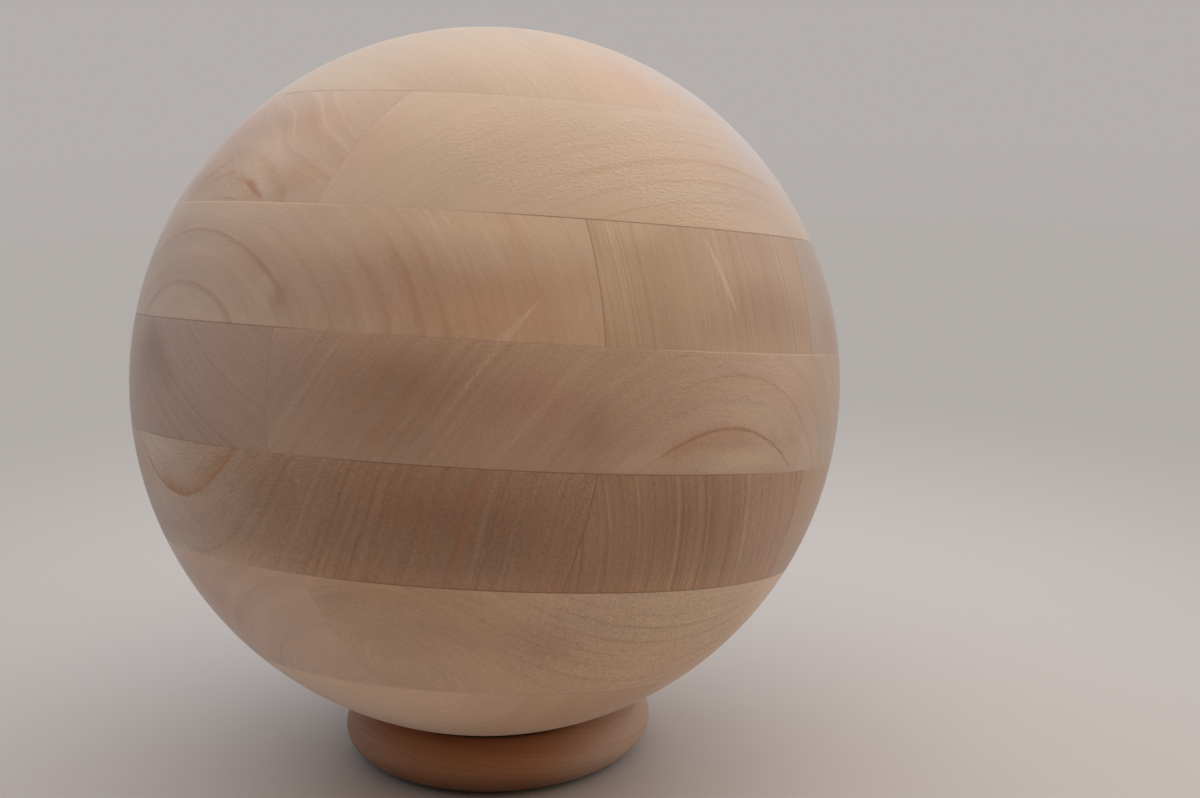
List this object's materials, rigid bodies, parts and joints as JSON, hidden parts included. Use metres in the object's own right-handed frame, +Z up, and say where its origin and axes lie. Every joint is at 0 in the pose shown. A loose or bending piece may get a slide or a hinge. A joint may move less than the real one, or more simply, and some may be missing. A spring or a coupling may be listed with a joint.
{
  "type": "wooden ball on a ring stand",
  "caption": "Large turned wooden ball glued up from crossed layers of pale boards, resting in a turned wooden ring that keeps it from rolling.",
  "frame": {"origin": "centre of the ring's foot, on the surface the ring stands on", "axes": "+Z up through the middle of the ring and of the ball, +X to the right and +Y to the back as the ball's layers are seen from the front"},
  "size_m": [0.32, 0.32, 0.3352],
  "materials": {
    "layer1_wood": "bare wood, turned and sanded, matt to satin",
    "layer2_wood": "bare wood, turned and sanded, matt to satin",
    "layer3_wood": "bare wood, turned and sanded, matt to satin",
    "layer4_wood": "bare wood, turned and sanded, matt to satin",
    "layer5_wood": "bare wood, turned and sanded, matt to satin",
    "layer6_wood": "bare wood, turned and sanded, matt to satin",
    "layer7_wood": "bare wood, turned and sanded, matt to satin",
    "ring_wood": "turned, sanded and lightly oiled wood, satin"
  },
  "bodies": {
    "root": {"layer1_front_board": "layer1_wood", "layer1_middle_board": "layer1_wood", "layer1_back_board": "layer1_wood", "layer2_front_board": "layer2_wood", "layer2_middle_board": "layer2_wood", "layer2_back_board": "layer2_wood", "layer3_front_board": "layer3_wood", "layer3_middle_board": "layer3_wood", "layer3_back_board": "layer3_wood", "layer4_front_board": "layer4_wood", "layer4_middle_board": "layer4_wood", "layer4_back_board": "layer4_wood", "layer5_front_board": "layer5_wood", "layer5_middle_board": "layer5_wood", "layer5_back_board": "layer5_wood", "layer6_front_board": "layer6_wood", "layer6_middle_board": "layer6_wood", "layer6_back_board": "layer6_wood", "layer7_front_board": "layer7_wood", "layer7_middle_board": "layer7_wood", "layer7_back_board": "layer7_wood", "ring_stand": "ring_wood"}
  },
  "joints": []
}
